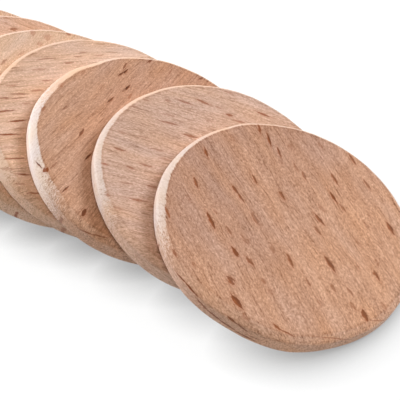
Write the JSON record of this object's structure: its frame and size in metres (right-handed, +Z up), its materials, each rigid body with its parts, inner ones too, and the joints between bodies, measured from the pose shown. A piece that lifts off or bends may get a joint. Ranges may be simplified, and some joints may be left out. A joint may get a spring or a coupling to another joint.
{
  "type": "game token set",
  "caption": "Fanned row of plain round wooden tokens with rounded rims, each lying on the next, the last ones flat in a stack.",
  "frame": {"origin": "centre of the underside of the lowest flat token, on the table", "axes": "+Z up, +X along the row from the flat stack towards the front token"},
  "size_m": [0.1216, 0.0421, 0.018],
  "materials": {
    "beech_leaning_1": "bare sanded beech, warm tan with brown flecks",
    "beech_leaning_2": "bare sanded beech, pale pinkish beige",
    "beech_leaning_3": "bare sanded beech, browner tan",
    "beech_leaning_4": "bare sanded beech, light orange-beige",
    "beech_leaning_5": "bare sanded beech, pale",
    "beech_leaning_6": "bare sanded beech, pinkish",
    "beech_leaning_7": "bare sanded beech, pale",
    "beech_flat_1": "bare sanded beech",
    "beech_flat_2": "bare sanded beech",
    "beech_flat_3": "bare sanded beech"
  },
  "bodies": {
    "flat_3": {"flat_token_3": "beech_flat_3"},
    "flat_2": {"flat_token_2": "beech_flat_2"},
    "flat_1": {"flat_token_1": "beech_flat_1"},
    "leaning_7": {"leaning_token_7": "beech_leaning_7"},
    "leaning_6": {"leaning_token_6": "beech_leaning_6"},
    "leaning_5": {"leaning_token_5": "beech_leaning_5"},
    "leaning_4": {"leaning_token_4": "beech_leaning_4"},
    "leaning_3": {"leaning_token_3": "beech_leaning_3"},
    "leaning_2": {"leaning_token_2": "beech_leaning_2"},
    "leaning_1": {"leaning_token_1": "beech_leaning_1"}
  },
  "joints": [
    {"name": "flat_2_lift", "type": "slide", "parent": "flat_3", "child": "flat_2", "axis": [0, 0, 1], "range_m": [0, 0.01]},
    {"name": "flat_1_lift", "type": "slide", "parent": "flat_2", "child": "flat_1", "axis": [0, 0, 1], "range_m": [0, 0.01]},
    {"name": "leaning_7_lift", "type": "slide", "parent": "flat_1", "child": "leaning_7", "axis": [0, 0, 1], "range_m": [0, 0.01]},
    {"name": "leaning_6_lift", "type": "slide", "parent": "leaning_7", "child": "leaning_6", "axis": [0, 0, 1], "range_m": [0, 0.01]},
    {"name": "leaning_5_lift", "type": "slide", "parent": "leaning_6", "child": "leaning_5", "axis": [0, 0, 1], "range_m": [0, 0.01]},
    {"name": "leaning_4_lift", "type": "slide", "parent": "leaning_5", "child": "leaning_4", "axis": [0, 0, 1], "range_m": [0, 0.01]},
    {"name": "leaning_3_lift", "type": "slide", "parent": "leaning_4", "child": "leaning_3", "axis": [0, 0, 1], "range_m": [0, 0.01]},
    {"name": "leaning_2_lift", "type": "slide", "parent": "leaning_3", "child": "leaning_2", "axis": [0, 0, 1], "range_m": [0, 0.01]},
    {"name": "leaning_1_lift", "type": "slide", "parent": "leaning_2", "child": "leaning_1", "axis": [0, 0, 1], "range_m": [0, 0.01]}
  ]
}
